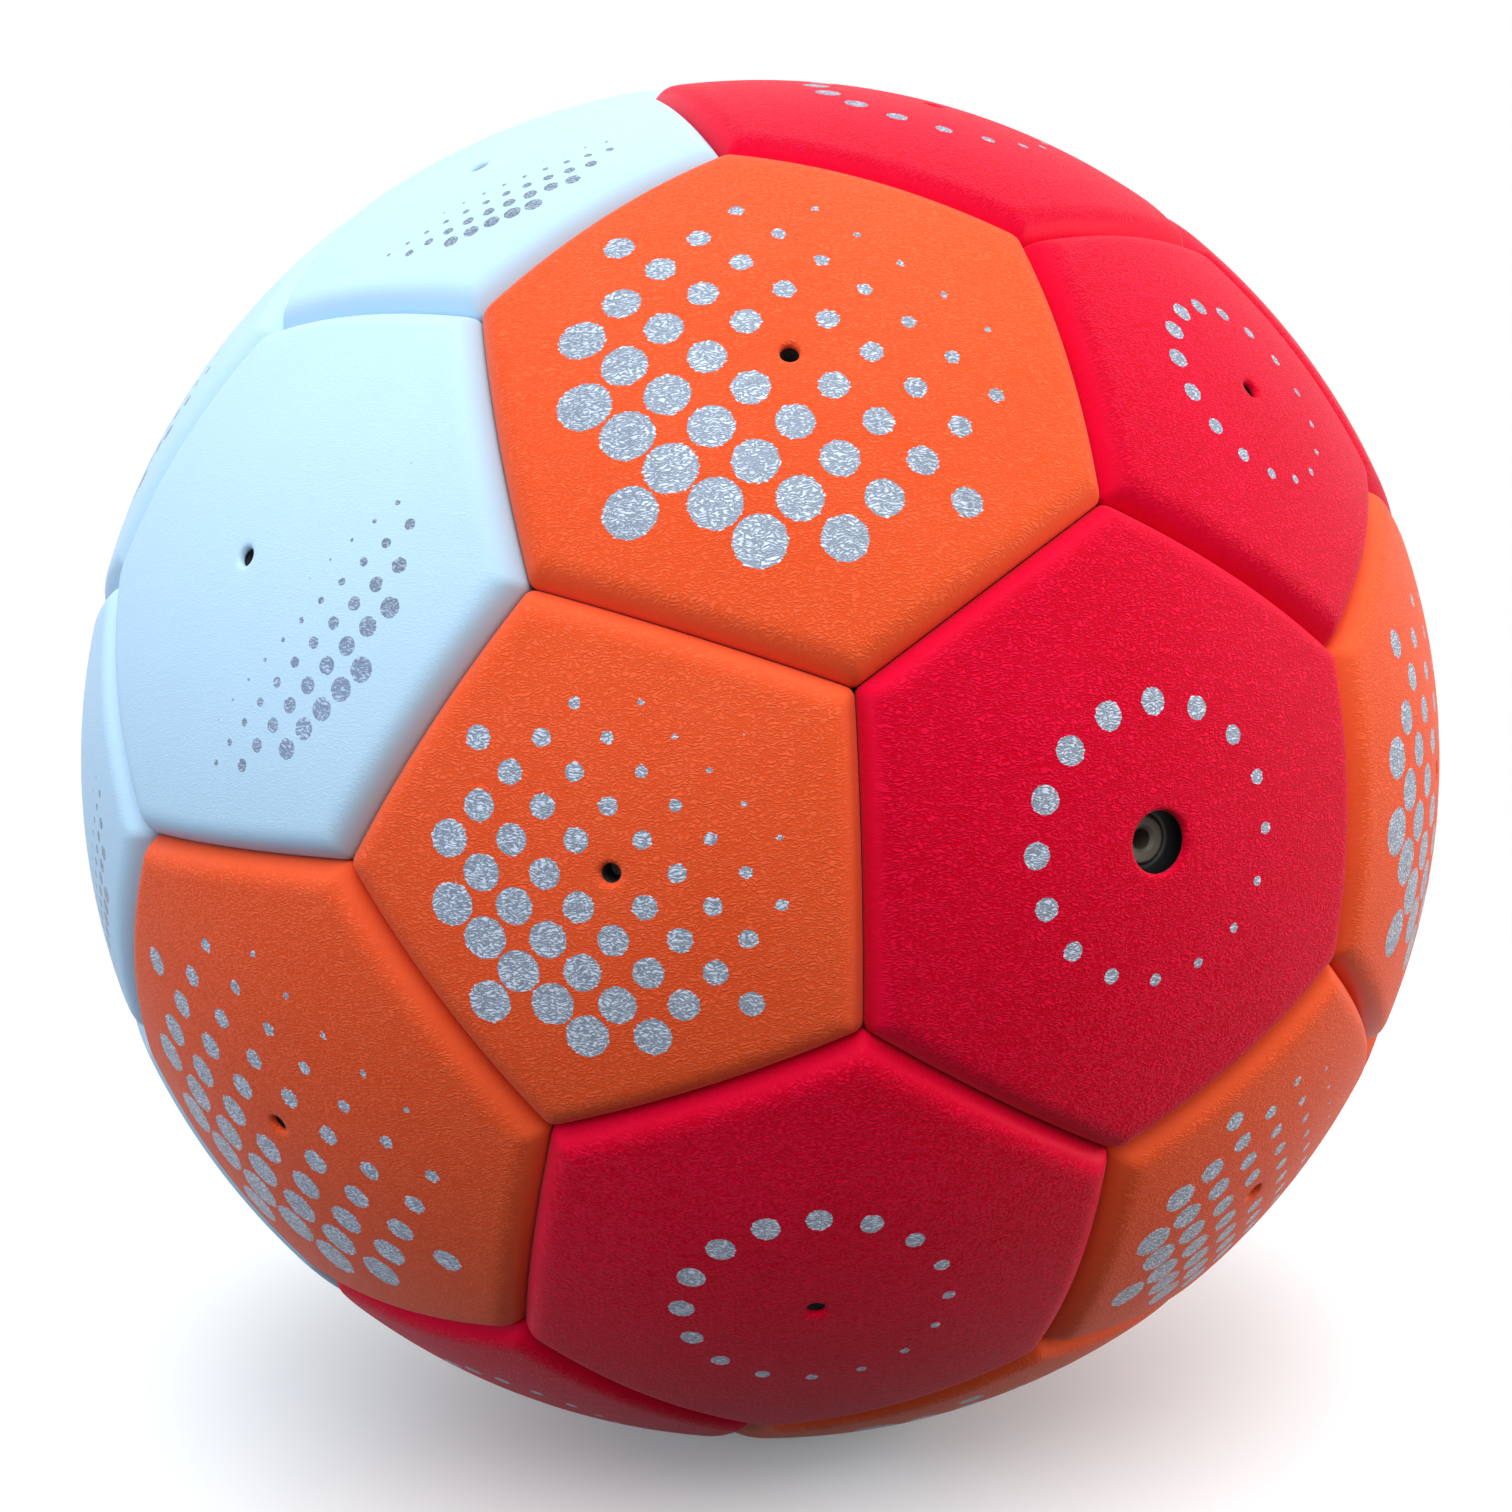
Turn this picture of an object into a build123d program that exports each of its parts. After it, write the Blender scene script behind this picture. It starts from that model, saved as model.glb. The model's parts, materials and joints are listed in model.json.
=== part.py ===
import os
from itertools import combinations, product
from math import asin, cos, degrees, pi, radians, sin, sqrt

from build123d import *

os.makedirs("parts", exist_ok=True)

# Cover: thirty-two panels of grained synthetic leather, sewn edge to edge
circumference = 470.0
skin_thickness = 0.9
foam_thickness = 3.0
lining_thickness = 0.8
pad_edge_roll = 1.3
breather_hole_radius = 0.9

# Seams: the rims of neighbouring panels turn in and are sewn together
seam_gap = 0.3
bond_gap = 0.1
thread_radius = 0.4
thread_end_gap = 1.0

# Bladder: the rubber sphere that holds the air
bladder_gap = 0.3
bladder_thickness = 0.9

# Valve: a rubber housing on the bladder, and the plug pressed into it
valve_hole_radius = 2.8
valve_depth = 2.7
neck_radius = 5.0
neck_gap = 0.3
neck_edge_round = 0.4
flange_radius = 12.0
flange_thickness = 1.2
plug_head_radius = 2.2
plug_head_length = 6.0
plug_stem_radius = 1.7
plug_stem_length = 10.0
plug_clearance = 0.05
plug_edge_round = 0.3
plug_tip_chamfer = 0.5
needle_bore_radius = 0.95
needle_bore_depth = 11.0
needle_lead_in = 0.3

# Radii from the ball's centre, layer by layer from the outside in
outer_radius = circumference / (2 * pi)
pad_radius = outer_radius - skin_thickness - bond_gap
pad_floor_radius = pad_radius - foam_thickness
lining_radius = pad_floor_radius - bond_gap
lining_floor_radius = lining_radius - lining_thickness
thread_path_radius = pad_floor_radius - bond_gap - thread_radius
bladder_radius = lining_floor_radius - bladder_gap
bladder_floor_radius = bladder_radius - bladder_thickness

# The rim's roll is the pad's own edge radius with the bond and the skin wrapped round it
skin_inner_roll = pad_edge_roll + bond_gap
rim_roll = skin_inner_roll + skin_thickness

# Side faces, measured from the plane that runs along the middle of a seam
rim_inset = seam_gap / 2
skin_inset = rim_inset + skin_thickness
pad_inset = skin_inset + bond_gap

# Axes of a truncated icosahedron's faces, turned until one hexagon faces -Y and Z runs through two seams
golden_ratio = (1 + sqrt(5)) / 2
icosahedron_corners = [
    corner
    for first, second in product((1, -1), (golden_ratio, -golden_ratio))
    for corner in (Vector(0, first, second), Vector(first, second, 0), Vector(second, 0, first))
]
pentagon_spacing = 64
face_axis = Vector(1 + 2 * golden_ratio, -golden_ratio, 0)
valve_axis = Vector(0, -1, 0)
valve_turn = -face_axis.get_angle(valve_axis)
pentagon_axes = [corner.normalized().rotate(Axis.Z, valve_turn) for corner in icosahedron_corners]
hexagon_axes = [
    (first + second + third).normalized()
    for first, second, third in combinations(pentagon_axes, 3)
    if max(first.get_angle(second), second.get_angle(third), third.get_angle(first)) < pentagon_spacing
]
hexagon_axes.sort(key=lambda axis: axis.get_angle(valve_axis))

# Half the angle that a panel covers, from its axis to the middle of a side
hexagon_hexagon_angle = min(hexagon_axes[0].get_angle(other) for other in hexagon_axes[1:])
hexagon_pentagon_angle = min(hexagon_axes[0].get_angle(other) for other in pentagon_axes)
hexagon_half_angle = hexagon_hexagon_angle / 2
pentagon_half_angle = hexagon_pentagon_angle - hexagon_half_angle
seam_half_angle = degrees(asin(1 / sqrt(9 * golden_ratio + 10)))

# Round pieces stand on the valve's axis, built outwards from a point or inwards from one
from_below = (Align.CENTER, Align.CENTER, Align.MIN)
from_above = (Align.CENTER, Align.CENTER, Align.MAX)


def side_plane(half_angle, side_angle, inset):
    """One side of a panel: a plane through the ball's centre, set in from the seam."""
    outward = Vector(
        cos(radians(half_angle)) * cos(radians(side_angle)),
        cos(radians(half_angle)) * sin(radians(side_angle)),
        -sin(radians(half_angle)),
    )
    return Plane(origin=outward * -inset, z_dir=outward)


def panel_wedge(side_count, half_angle, inset, crown_radius, floor_radius):
    """The slice of the ball under one panel, between two spheres."""
    with BuildPart() as wedge:
        Sphere(crown_radius, rotation=(90, 0, 0))
        for side in range(side_count):
            split(bisect_by=side_plane(half_angle, 360 * side / side_count, inset), keep=Keep.BOTTOM)
        Sphere(floor_radius, rotation=(90, 0, 0), mode=Mode.SUBTRACT)
    return wedge.part


def rolled_wedge(side_count, half_angle, inset, crown_radius, floor_radius, edge_roll):
    """The same slice with its crown rim and its corners rolled over."""
    wedge = panel_wedge(side_count, half_angle, inset, crown_radius, floor_radius)
    with BuildPart() as rolled:
        add(wedge)
        floor_face = rolled.faces().filter_by(GeomType.SPHERE).sort_by(SortBy.AREA)[0]
        fillet(rolled.edges() - floor_face.edges(), edge_roll)
    return rolled.part


def panel_skin(side_count, half_angle, hole_radius):
    """A cover panel: a thin tray with rolled rims, and a hole in its middle."""
    outside = rolled_wedge(side_count, half_angle, rim_inset, outer_radius, pad_floor_radius, rim_roll)
    inside = rolled_wedge(
        side_count, half_angle, skin_inset, outer_radius - skin_thickness, lining_radius, skin_inner_roll
    )
    with BuildPart() as skin:
        add(outside)
        add(inside, mode=Mode.SUBTRACT)
        Cylinder(hole_radius, 2 * outer_radius, mode=Mode.SUBTRACT)
    return skin.part


def panel_pad(side_count, half_angle, hole_radius):
    """A foam pad that fills the tray under a skin, with a hole in its middle."""
    filling = rolled_wedge(side_count, half_angle, pad_inset, pad_radius, pad_floor_radius, pad_edge_roll)
    with BuildPart() as pad:
        add(filling)
        Cylinder(hole_radius, 2 * outer_radius, mode=Mode.SUBTRACT)
    return pad.part


def panel_plane(axis, neighbour):
    """A panel's own frame: Z out along its axis, X towards the side it shares with a neighbour."""
    return Plane(origin=(0, 0, 0), x_dir=neighbour - axis * neighbour.dot(axis), z_dir=axis)


def nearest(axes, axis):
    return min(axes, key=axis.get_angle)


hexagon_planes = [panel_plane(axis, nearest(pentagon_axes, axis)) for axis in hexagon_axes]
pentagon_planes = [panel_plane(axis, nearest(hexagon_axes, axis)) for axis in pentagon_axes]
valve_plane, *plain_hexagon_planes = hexagon_planes

# Colours run in bands about one hexagon's axis: a white cap, a band in three colours, a red band
# and an orange cap
cap_aim_shares = (-0.75, 0.33, 0.58)
cap_height_share = 0.7
cap_axis = nearest(hexagon_axes, Vector(*cap_aim_shares))
band_pentagons = [axis for axis in pentagon_axes if 0 < axis.dot(cap_axis) < cap_height_share]
band_pentagons.sort(key=lambda axis: axis.Z)
band_colours = ("white", "orange", "red")


def panel_colour(axis):
    height_share = axis.dot(cap_axis)
    if height_share > cap_height_share:
        return "white"
    if height_share < -cap_height_share:
        return "orange"
    if height_share < 0:
        return "red"
    return band_colours[band_pentagons.index(nearest(band_pentagons, axis))]


# Cover panels, one node each, numbered within their shape and colour
hexagon_skin = panel_skin(6, hexagon_half_angle, breather_hole_radius)
pentagon_skin = panel_skin(5, pentagon_half_angle, breather_hole_radius)
panel_counts = {}
for shape, skin_part, planes in (
    ("hexagon", hexagon_skin, plain_hexagon_planes),
    ("pentagon", pentagon_skin, pentagon_planes),
):
    for plane in planes:
        kind = f"{panel_colour(plane.z_dir)}_{shape}_panel"
        panel_counts[kind] = panel_counts.get(kind, 0) + 1
        with BuildPart(plane) as panel:
            add(skin_part)
        panel.part.label = f"{kind}_{panel_counts[kind]}"
        export_step(panel.part, f"parts/{panel.part.label}.step")

# Valve panel: the red hexagon on -Y, with the valve hole in place of a breather hole
valve_skin = panel_skin(6, hexagon_half_angle, valve_hole_radius)
with BuildPart(valve_plane) as valve_panel:
    add(valve_skin)
valve_panel.part.label = "valve_panel"
export_step(valve_panel.part, "parts/valve_panel.step")

# Foam pads: soft foam under each skin, pierced by the same breather hole
hexagon_pad = panel_pad(6, hexagon_half_angle, breather_hole_radius)
with BuildPart(*plain_hexagon_planes) as hexagon_foam_pads:
    add(hexagon_pad)
hexagon_foam_pads.part.label = "hexagon_foam_pads"
export_step(hexagon_foam_pads.part, "parts/hexagon_foam_pads.step")

pentagon_pad = panel_pad(5, pentagon_half_angle, breather_hole_radius)
with BuildPart(*pentagon_planes) as pentagon_foam_pads:
    add(pentagon_pad)
pentagon_foam_pads.part.label = "pentagon_foam_pads"
export_step(pentagon_foam_pads.part, "parts/pentagon_foam_pads.step")

valve_pad = panel_pad(6, hexagon_half_angle, neck_radius + neck_gap)
with BuildPart(valve_plane) as valve_foam_pad:
    add(valve_pad)
valve_foam_pad.part.label = "valve_foam_pad"
export_step(valve_foam_pad.part, "parts/valve_foam_pad.step")

# Linings: layers of cloth laminated to the back of each pad
hexagon_cloth = panel_wedge(6, hexagon_half_angle, pad_inset, lining_radius, lining_floor_radius)
with BuildPart(*plain_hexagon_planes) as hexagon_linings:
    add(hexagon_cloth)
hexagon_linings.part.label = "hexagon_linings"
export_step(hexagon_linings.part, "parts/hexagon_linings.step")

pentagon_cloth = panel_wedge(5, pentagon_half_angle, pad_inset, lining_radius, lining_floor_radius)
with BuildPart(*pentagon_planes) as pentagon_linings:
    add(pentagon_cloth)
pentagon_linings.part.label = "pentagon_linings"
export_step(pentagon_linings.part, "parts/pentagon_linings.step")

with BuildPart(valve_plane) as valve_lining:
    add(hexagon_cloth)
    Cylinder(neck_radius + neck_gap, outer_radius, align=from_below, mode=Mode.SUBTRACT)
valve_lining.part.label = "valve_lining"
export_step(valve_lining.part, "parts/valve_lining.step")

# Seam threads: one run of waxed thread under each of the ninety seams, just inside the turned-in rims
seams = [
    (first, second, hexagon_half_angle, hexagon_half_angle)
    for first, second in combinations(hexagon_axes, 2)
    if first.get_angle(second) < 2 * hexagon_half_angle + pentagon_half_angle / 2
] + [
    (first, second, hexagon_half_angle, pentagon_half_angle)
    for first, second in product(hexagon_axes, pentagon_axes)
    if first.get_angle(second) < hexagon_half_angle + 2 * pentagon_half_angle
]
seam_planes = []
for first, second, first_half, second_half in seams:
    seam_middle = first * sin(radians(second_half)) + second * sin(radians(first_half))
    along_seam = first.cross(second)
    seam_planes.append(Plane(origin=(0, 0, 0), x_dir=seam_middle, z_dir=seam_middle.cross(along_seam)))
thread_half_angle = seam_half_angle - degrees(thread_end_gap / thread_path_radius)
with BuildPart() as thread:
    with BuildSketch(Plane.XZ):
        with Locations((thread_path_radius, 0)):
            Circle(thread_radius)
    revolve(axis=Axis.Z, revolution_arc=2 * thread_half_angle)
with BuildPart(*seam_planes) as seam_threads:
    add(thread.part, rotation=(0, 0, -thread_half_angle))
seam_threads.part.label = "seam_threads"
export_step(seam_threads.part, "parts/seam_threads.step")

# Bladder: a thin rubber sphere with a hole for the valve's neck
with BuildPart(valve_plane) as bladder:
    Sphere(bladder_radius)
    Sphere(bladder_floor_radius, mode=Mode.SUBTRACT)
    Cylinder(neck_radius + bond_gap, outer_radius, align=from_below, mode=Mode.SUBTRACT)
bladder.part.label = "bladder"
export_step(bladder.part, "parts/bladder.step")

# Valve housing: a rubber boss with a round flange bonded under the bladder's wall, bored for the plug
valve_face_radius = outer_radius - valve_depth
valve_line = Axis((0, 0, 0), valve_axis)
plug_length = plug_head_length + plug_stem_length
with BuildPart(valve_plane) as valve_housing:
    Sphere(bladder_floor_radius - bond_gap)
    Sphere(bladder_floor_radius - bond_gap - flange_thickness, mode=Mode.SUBTRACT)
    Cylinder(flange_radius, outer_radius, align=from_below, mode=Mode.INTERSECT)
    with Locations((0, 0, valve_face_radius)):
        Cylinder(neck_radius, plug_length, align=from_above)
        Cylinder(
            plug_head_radius + plug_clearance,
            plug_head_length + plug_clearance,
            align=from_above,
            mode=Mode.SUBTRACT,
        )
        Cylinder(plug_stem_radius + plug_clearance, 2 * plug_length, align=from_above, mode=Mode.SUBTRACT)
    fillet(valve_housing.edges().group_by(valve_line)[-1], neck_edge_round)
valve_housing.part.label = "valve_housing"
export_step(valve_housing.part, "parts/valve_housing.step")

# Valve plug: pressed into the housing, with a blind guide bore that ends at the closed needle slit
with BuildPart(valve_plane) as valve_plug:
    with Locations((0, 0, valve_face_radius)):
        Cylinder(plug_head_radius, plug_head_length, align=from_above)
        Cylinder(plug_stem_radius, plug_length, align=from_above)
        Cylinder(needle_bore_radius, needle_bore_depth, align=from_above, mode=Mode.SUBTRACT)
    bore_mouth, head_rim = valve_plug.edges().group_by(valve_line)[-1].sort_by(SortBy.RADIUS)
    chamfer(bore_mouth, needle_lead_in)
    fillet(head_rim, plug_edge_round)
    chamfer(valve_plug.edges().group_by(valve_line)[0], plug_tip_chamfer)
valve_plug.part.label = "valve_plug"
export_step(valve_plug.part, "parts/valve_plug.step")
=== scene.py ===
import json
from itertools import combinations
from math import atan, atan2, cos, pi, radians, sin, sqrt, tan

import bmesh
import bpy
import numpy as np
from mathutils import Matrix, Vector

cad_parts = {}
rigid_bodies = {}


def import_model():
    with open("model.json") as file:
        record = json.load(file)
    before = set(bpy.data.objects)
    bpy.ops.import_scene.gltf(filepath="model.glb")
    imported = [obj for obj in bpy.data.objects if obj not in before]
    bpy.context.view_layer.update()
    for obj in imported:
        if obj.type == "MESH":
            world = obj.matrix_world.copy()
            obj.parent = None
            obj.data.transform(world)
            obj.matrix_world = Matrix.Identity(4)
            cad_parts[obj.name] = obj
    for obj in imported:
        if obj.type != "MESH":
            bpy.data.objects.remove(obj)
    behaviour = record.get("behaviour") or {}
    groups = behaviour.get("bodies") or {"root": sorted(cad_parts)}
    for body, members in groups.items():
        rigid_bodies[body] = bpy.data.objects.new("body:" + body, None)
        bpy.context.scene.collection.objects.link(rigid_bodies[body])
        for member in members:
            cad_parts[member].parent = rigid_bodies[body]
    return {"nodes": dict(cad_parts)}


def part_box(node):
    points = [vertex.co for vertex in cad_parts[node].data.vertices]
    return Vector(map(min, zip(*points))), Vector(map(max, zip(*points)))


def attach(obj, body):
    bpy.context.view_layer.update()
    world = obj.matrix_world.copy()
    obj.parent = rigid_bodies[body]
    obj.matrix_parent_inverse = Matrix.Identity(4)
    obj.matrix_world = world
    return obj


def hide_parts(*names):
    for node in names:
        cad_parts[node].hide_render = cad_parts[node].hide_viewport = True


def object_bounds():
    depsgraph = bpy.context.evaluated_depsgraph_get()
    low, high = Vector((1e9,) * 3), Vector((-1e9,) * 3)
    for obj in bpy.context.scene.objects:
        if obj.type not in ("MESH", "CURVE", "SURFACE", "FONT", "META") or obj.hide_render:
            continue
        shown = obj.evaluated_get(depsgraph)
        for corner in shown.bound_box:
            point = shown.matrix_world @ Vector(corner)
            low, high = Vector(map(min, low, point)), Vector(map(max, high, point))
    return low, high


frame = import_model()
cad_lowest, cad_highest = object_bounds()

# Bladder
# A thin sphere of black butyl rubber, moulded in two halves, that holds the air. The low line where the
# mould halves met runs round it, and the valve's neck comes out through a round opening in its wall.
mm = 0.001
bladder_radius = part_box("bladder")[1].x
bladder_wall = 0.9 * mm
bladder_opening = 5.1 * mm
mould_line_height = 0.2 * mm
bladder_segments = 96
bladder_pit = 0.625 * mm
smoothing_angle = radians(40)


def linear(code):
    """An sRGB hex colour as linear RGBA."""
    parts = [int(code[place:place + 2], 16) / 255 for place in (1, 3, 5)]
    return [part / 12.92 if part <= 0.04045 else ((part + 0.055) / 1.055) ** 2.4 for part in parts] + [1]


def add_node(tree, kind, values=None, **settings):
    """A node with its settings and its inputs, by name or number: a socket is linked, the rest is set."""
    node = tree.nodes.new(kind)
    for name, setting in settings.items():
        setattr(node, name, setting)
    for name, value in (values or {}).items():
        if isinstance(value, bpy.types.NodeSocket):
            tree.links.new(value, node.inputs[name])
        else:
            node.inputs[name].default_value = value
    return node


def moulded_rubber(name, dark, light, roughness, pit_size):
    """Moulded rubber: a dull sheen from the mould's fine pits, with a bloom that pales it in patches."""
    bloom_patch = 8.333 * mm
    pit_depth = 0.05 * mm
    material = bpy.data.materials.new(name)
    material.use_nodes = True
    tree = material.node_tree
    shader = tree.nodes["Principled BSDF"]
    spot = add_node(tree, "ShaderNodeTexCoord").outputs["Object"]
    bloom = add_node(tree, "ShaderNodeTexNoise", {"Vector": spot, "Scale": 1 / bloom_patch, "Detail": 4})
    colour = add_node(
        tree,
        "ShaderNodeMix",
        {"Factor": bloom.outputs[0], "A": linear(dark), "B": linear(light)},
        data_type="RGBA",
    )
    pits = add_node(tree, "ShaderNodeTexNoise", {"Vector": spot, "Scale": 1 / pit_size, "Detail": 3})
    bump = add_node(
        tree, "ShaderNodeBump", {"Height": pits.outputs[0], "Strength": 0.4, "Distance": pit_depth}
    )
    tree.links.new(colour.outputs["Result"], shader.inputs["Base Color"])
    tree.links.new(bump.outputs["Normal"], shader.inputs["Normal"])
    shader.inputs["Roughness"].default_value = roughness
    shader.inputs["IOR"].default_value = 1.52
    return material


def pick(kind, test):
    """Selects the vertices, edges or faces in edit mode that pass a test, and nothing else."""
    bpy.ops.mesh.select_mode(type=kind)
    bpy.ops.mesh.select_all(action="DESELECT")
    edited = bpy.context.object.data
    mesh = bmesh.from_edit_mesh(edited)
    for element in {"VERT": mesh.verts, "EDGE": mesh.edges, "FACE": mesh.faces}[kind]:
        if test(element):
            element.select_set(True)
    bmesh.update_edit_mesh(edited)


def apply_modifier(piece, kind, **settings):
    """Adds a modifier with its settings and applies it."""
    modifier = piece.modifiers.new(kind.lower(), kind)
    for name, setting in settings.items():
        setattr(modifier, name, setting)
    bpy.ops.object.modifier_apply(modifier=modifier.name)


def finish_piece(piece, material, slot, body, *nodes):
    """Gives a piece its material and its body, and hides the CAD nodes that it stands for."""
    piece.data.materials.clear()
    piece.data.materials.append(material)
    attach(piece, body)
    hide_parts(*nodes)


bpy.ops.object.select_all(action="DESELECT")
bpy.ops.mesh.primitive_uv_sphere_add(
    segments=bladder_segments,
    ring_count=bladder_segments // 2,
    radius=bladder_radius,
    rotation=(pi / 2, 0, 0),
)
rubber_bladder = bpy.context.object
rubber_bladder.name = "rubber_bladder"
bpy.ops.object.transform_apply(location=False, rotation=True, scale=False)
bpy.ops.object.mode_set(mode="EDIT")
opening_height = sqrt(bladder_radius ** 2 - bladder_opening ** 2)
bpy.ops.mesh.bisect(plane_co=(0, -opening_height, 0), plane_no=(0, -1, 0), clear_outer=True)
pick("VERT", lambda vertex: abs(vertex.co.y) < mould_line_height)
line_share = 1 + mould_line_height / bladder_radius
bpy.ops.transform.resize(value=(line_share,) * 3, center_override=(0, 0, 0))
bpy.ops.object.mode_set(mode="OBJECT")
apply_modifier(rubber_bladder, "SOLIDIFY", thickness=bladder_wall, offset=-1)
bpy.ops.object.shade_smooth_by_angle(angle=smoothing_angle)
butyl = moulded_rubber("butyl_rubber", "#1B1C1E", "#2A2B2D", 0.55, bladder_pit)
finish_piece(rubber_bladder, butyl, "bladder_rubber", "ball", "bladder")

# Valve housing and valve plug
# The housing is a black rubber boss with a flange bonded under the bladder's wall. The plug is a softer grey
# rubber stopper pressed into it, with a needle hole in its face. Both are moulded, and keep their solids.
valve_pit = 0.4545 * mm
housing_rubber = moulded_rubber("black_moulded_rubber", "#0B0B0C", "#141415", 0.6, valve_pit)
plug_rubber = moulded_rubber("grey_gum_rubber", "#5A554B", "#777064", 0.5, valve_pit)
for node_name, rubber in (("valve_housing", housing_rubber), ("valve_plug", plug_rubber)):
    moulding = frame["nodes"][node_name]
    moulding.data.materials.clear()
    moulding.data.materials.append(rubber)

# Cloth linings
# Woven polyester and cotton, laminated to the back of each foam pad so that the cover can't stretch. They are
# cut to the panels' shapes, a little smaller, and the valve's has a round hole for the neck.
golden_ratio = (1 + sqrt(5)) / 2
valve_axis = Vector((0, -1, 0))
face_axis = Vector((1 + 2 * golden_ratio, -golden_ratio, 0))
valve_turn = Matrix.Rotation(-face_axis.angle(valve_axis), 3, "Z")
pentagon_axes = [
    valve_turn @ Vector(corner).normalized()
    for first in (1, -1)
    for second in (golden_ratio, -golden_ratio)
    for corner in ((0, first, second), (first, second, 0), (second, 0, first))
]
# Pentagons lie 63.4 degrees from their neighbours, and a hexagon lies in the middle of each three of them
pentagon_spacing = radians(64)
hexagon_axes = [
    (first + second + third).normalized()
    for first, second, third in combinations(pentagon_axes, 3)
    if max(first.angle(second), second.angle(third), third.angle(first)) < pentagon_spacing
]
hexagon_axes.sort(key=valve_axis.angle)
plain_hexagon_axes = hexagon_axes[1:]
hexagon_half_angle = min(valve_axis.angle(axis) for axis in plain_hexagon_axes) / 2
pentagon_half_angle = min(valve_axis.angle(axis) for axis in pentagon_axes) - hexagon_half_angle
outer_radius = (cad_highest.z - cad_lowest.z) / 2
lining_radius = outer_radius - 4.1 * mm
lining_thickness = 0.8 * mm
layer_inset = 1.15 * mm
lining_corner = 0.6 * mm
neck_hole_radius = 5.3 * mm
layer_side_cuts = 7
layer_corner_cuts = 3
lining_rings = 7
yarn_pitch = 0.9 * mm
weave_depth = 0.15 * mm
# Blender's wave texture repeats at this length when its scale is 1
wave_length = 2 * pi / 20


def panel_outline(side_count, half_angle, inset, crown_radius, corner_radius, side_cuts, corner_cuts):
    """A panel's edge as a selected loop on the plane that touches its crown, a side's middle on +X."""
    half_width = crown_radius * tan(half_angle) - inset / cos(half_angle)
    bpy.ops.object.select_all(action="DESELECT")
    bpy.ops.mesh.primitive_circle_add(
        vertices=side_count,
        radius=half_width / cos(pi / side_count),
        fill_type="NGON",
        location=(0, 0, crown_radius),
        rotation=(0, 0, -pi / 2 - pi / side_count),
    )
    bpy.ops.object.transform_apply()
    bpy.ops.object.mode_set(mode="EDIT")
    bpy.ops.mesh.select_all(action="SELECT")
    corner_length = corner_radius * tan(pi / side_count)
    bpy.ops.mesh.bevel(offset=corner_length, segments=corner_cuts, affect="VERTICES")
    pick("EDGE", lambda edge: edge.calc_length() > half_width / 2)
    bpy.ops.mesh.subdivide(number_cuts=side_cuts)
    bpy.ops.mesh.select_all(action="SELECT")
    bpy.ops.mesh.delete(type="ONLY_FACE")
    bpy.ops.mesh.select_all(action="SELECT")
    return half_width


def panel_field(crown_radius, hole_radius, ring_count):
    """Fills a panel from its selected loop to a round hole in its middle, or to a point without one."""
    crown = (0, 0, crown_radius)
    bpy.ops.mesh.extrude_edges_indiv()
    bpy.ops.transform.tosphere(value=1, center_override=crown)
    mesh = bmesh.from_edit_mesh(bpy.context.object.data)
    loop_radius = max(vertex.co.xy.length for vertex in mesh.verts if vertex.select)
    middle_radius = hole_radius or mm
    reach = middle_radius / loop_radius
    bpy.ops.transform.resize(value=(reach, reach, 1), center_override=crown)
    just_past_middle = 1.01 * middle_radius

    def in_middle(vertex):
        return vertex.co.xy.length < just_past_middle

    pick("EDGE", lambda edge: in_middle(edge.verts[0]) != in_middle(edge.verts[1]))
    bpy.ops.mesh.subdivide(number_cuts=ring_count - 1)
    if not hole_radius:
        pick("VERT", in_middle)
        bpy.ops.mesh.merge(type="CENTER")
    bpy.ops.mesh.select_all(action="SELECT")
    bpy.ops.mesh.normals_make_consistent(inside=False)
    mesh = bmesh.from_edit_mesh(bpy.context.object.data)
    mesh.faces.ensure_lookup_table()
    if mesh.faces[0].normal.z < 0:
        bpy.ops.mesh.flip_normals()
    bpy.ops.object.mode_set(mode="OBJECT")
    apply_modifier(bpy.context.object, "CAST", factor=1, use_radius_as_size=False, size=crown_radius)


def turn_to(axis, neighbours):
    """The turn that brings a panel, crown up, to its axis, its side on +X to the nearest neighbour."""
    neighbour = min(neighbours, key=axis.angle)
    side = (neighbour - axis * neighbour.dot(axis)).normalized()
    return Matrix((side, axis.cross(side), axis)).transposed().to_4x4()


def place_copy(pattern, name, turn):
    """A copy of a piece with its own mesh, turned into its place."""
    bpy.ops.object.select_all(action="DESELECT")
    piece = pattern.copy()
    piece.data = pattern.data.copy()
    piece.name = name
    bpy.context.collection.objects.link(piece)
    piece.matrix_world = turn
    piece.select_set(True)
    bpy.context.view_layer.objects.active = piece
    bpy.ops.object.transform_apply(location=False, rotation=True, scale=False)
    return piece


def place_group(pattern, name, turns):
    """Copies of a piece at several places, joined into one group."""
    copies = [place_copy(pattern, name, turn) for turn in turns]
    bpy.ops.object.select_all(action="DESELECT")
    for piece in copies:
        piece.select_set(True)
    bpy.context.view_layer.objects.active = copies[0]
    if len(copies) > 1:
        bpy.ops.object.join()
    return copies[0]


hexagon_turns = [turn_to(axis, pentagon_axes) for axis in plain_hexagon_axes]
pentagon_turns = [turn_to(axis, hexagon_axes) for axis in pentagon_axes]
valve_panel_turn = turn_to(valve_axis, pentagon_axes)

lining_cloth = bpy.data.materials.new("polycotton_lining")
lining_cloth.use_nodes = True
cloth_tree = lining_cloth.node_tree
cloth_spot = add_node(cloth_tree, "ShaderNodeTexCoord").outputs["Object"]
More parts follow.
